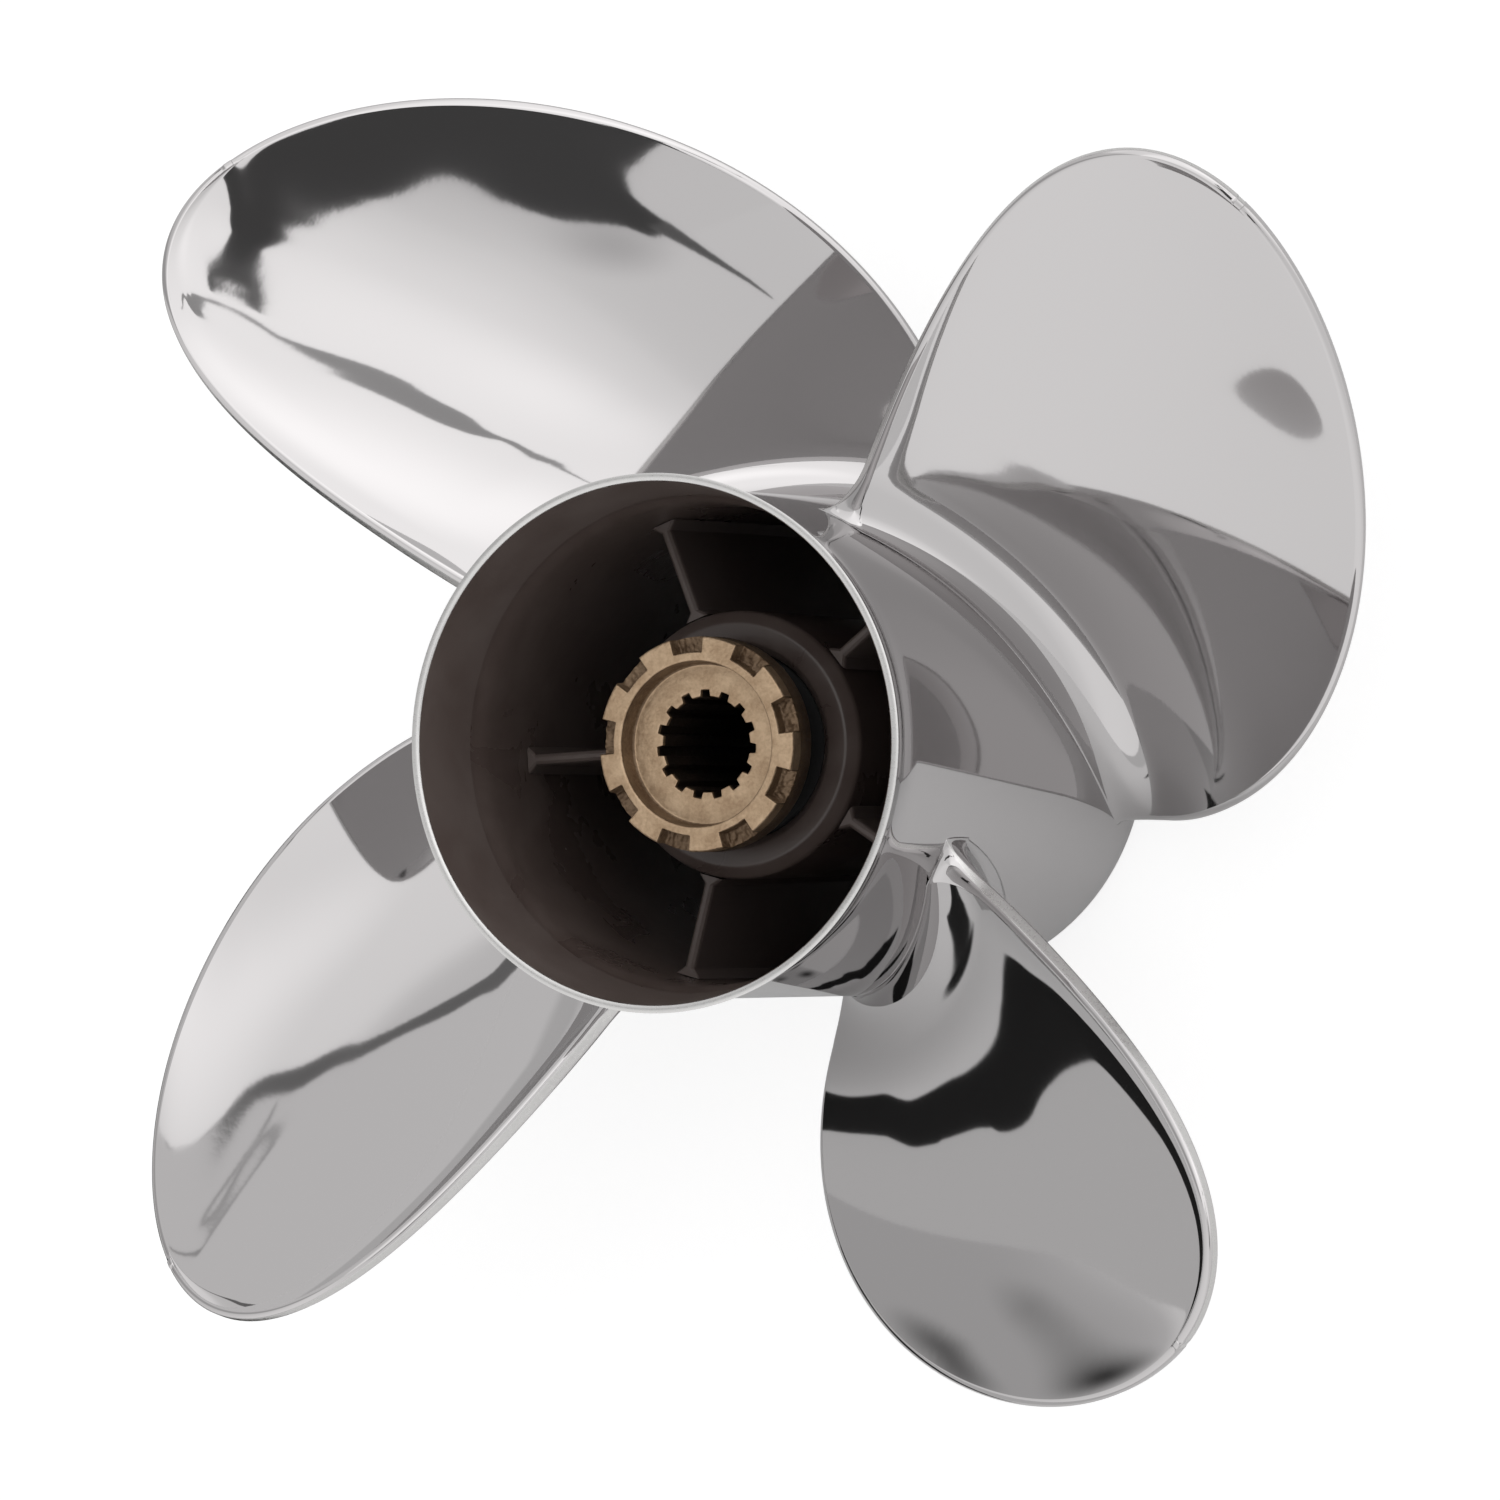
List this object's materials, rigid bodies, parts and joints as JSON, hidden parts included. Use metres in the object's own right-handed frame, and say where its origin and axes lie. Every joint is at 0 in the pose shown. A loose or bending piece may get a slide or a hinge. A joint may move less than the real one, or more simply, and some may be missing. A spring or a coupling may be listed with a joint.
{
  "type": "four-blade outboard ship propeller",
  "caption": "Polished stainless boat propeller with four raked blades, an exhaust passage through its hub and a splined bronze bush.",
  "frame": {"origin": "centre of the hub's forward face, on the floor that the propeller stands on", "axes": "+Z along the shaft, from the forward end to the flared aft end"},
  "size_m": [0.3162, 0.3162, 0.16],
  "materials": {
    "polished_steel": "mirror-polished stainless steel",
    "exhaust_paint": "dark brown-black paint, half gloss",
    "cast_bronze": "blasted cast bronze, matte",
    "black_rubber": "matte moulded rubber"
  },
  "bodies": {
    "root": {"hub_barrel": "polished_steel", "exhaust_flare": "polished_steel", "inner_hub": "exhaust_paint", "rib_1": "exhaust_paint", "rib_2": "exhaust_paint", "rib_3": "exhaust_paint", "rib_4": "exhaust_paint", "rib_5": "exhaust_paint", "rubber_bush": "black_rubber", "splined_bush": "cast_bronze", "blade_1": "polished_steel", "blade_2": "polished_steel", "blade_3": "polished_steel", "blade_4": "polished_steel"}
  },
  "joints": []
}
